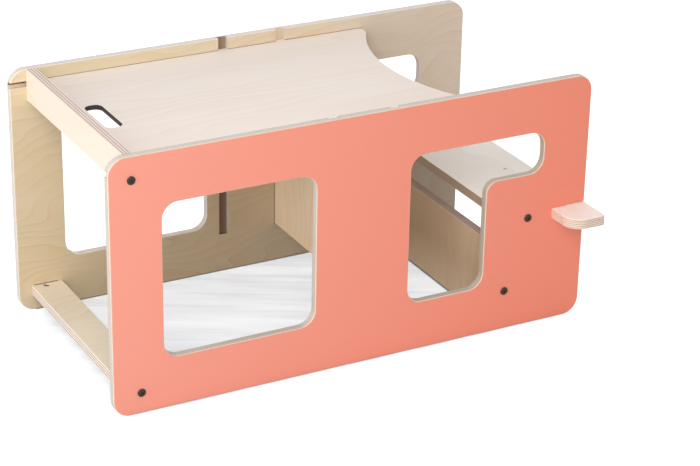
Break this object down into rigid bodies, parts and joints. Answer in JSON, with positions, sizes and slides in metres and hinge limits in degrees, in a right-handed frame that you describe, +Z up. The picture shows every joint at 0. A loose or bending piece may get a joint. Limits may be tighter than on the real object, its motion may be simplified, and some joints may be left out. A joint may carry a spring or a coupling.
{
  "type": "learning tower",
  "caption": "Convertible plywood learning tower lying as a play table: two windowed coloured side panels, slide-in tabletop, standing platform, seat board with side feet, rails and step.",
  "frame": {"origin": "on the floor, under the middle of the object's length and width, as it lies on its side as a table", "axes": "+X along the side panels towards the tower's base and the seat; +Y across, from the front panel to the back panel; +Z up"},
  "size_m": [0.9, 0.5834, 0.457],
  "materials": {
    "birch_plywood": "clear satin varnish, ply stripes on the edges",
    "pale_birch_plywood": "clear satin varnish on a pale face veneer",
    "coral_laminate": "smooth satin coral sheet",
    "black_steel": "black connector bolt with a hex socket",
    "zinc_steel": "zinc-plated turned steel",
    "beech": "plain beech"
  },
  "bodies": {
    "root": {"front_panel": "birch_plywood", "back_panel": "birch_plywood", "front_laminate": "coral_laminate", "back_laminate": "coral_laminate", "tabletop": "pale_birch_plywood", "top_rail": "birch_plywood", "bottom_rail": "birch_plywood", "platform": "birch_plywood", "seat_board": "pale_birch_plywood", "step_board": "birch_plywood", "top_rail_bolt_front": "black_steel", "top_rail_bolt_back": "black_steel", "bottom_rail_bolt_front": "black_steel", "bottom_rail_bolt_back": "black_steel", "seat_bolt_front": "black_steel", "seat_bolt_back": "black_steel", "step_bolt_front": "black_steel", "step_bolt_back": "black_steel", "top_rail_nut_front": "zinc_steel", "top_rail_nut_back": "zinc_steel", "bottom_rail_nut_front": "zinc_steel", "bottom_rail_nut_back": "zinc_steel", "seat_nut_front": "zinc_steel", "seat_nut_back": "zinc_steel", "step_nut_front": "zinc_steel", "step_nut_back": "zinc_steel", "top_rail_dowel_front": "beech", "top_rail_dowel_back": "beech", "bottom_rail_dowel_front": "beech", "bottom_rail_dowel_back": "beech", "step_low_dowel_front": "beech", "step_low_dowel_back": "beech", "step_high_dowel_front": "beech", "step_high_dowel_back": "beech"}
  },
  "joints": []
}
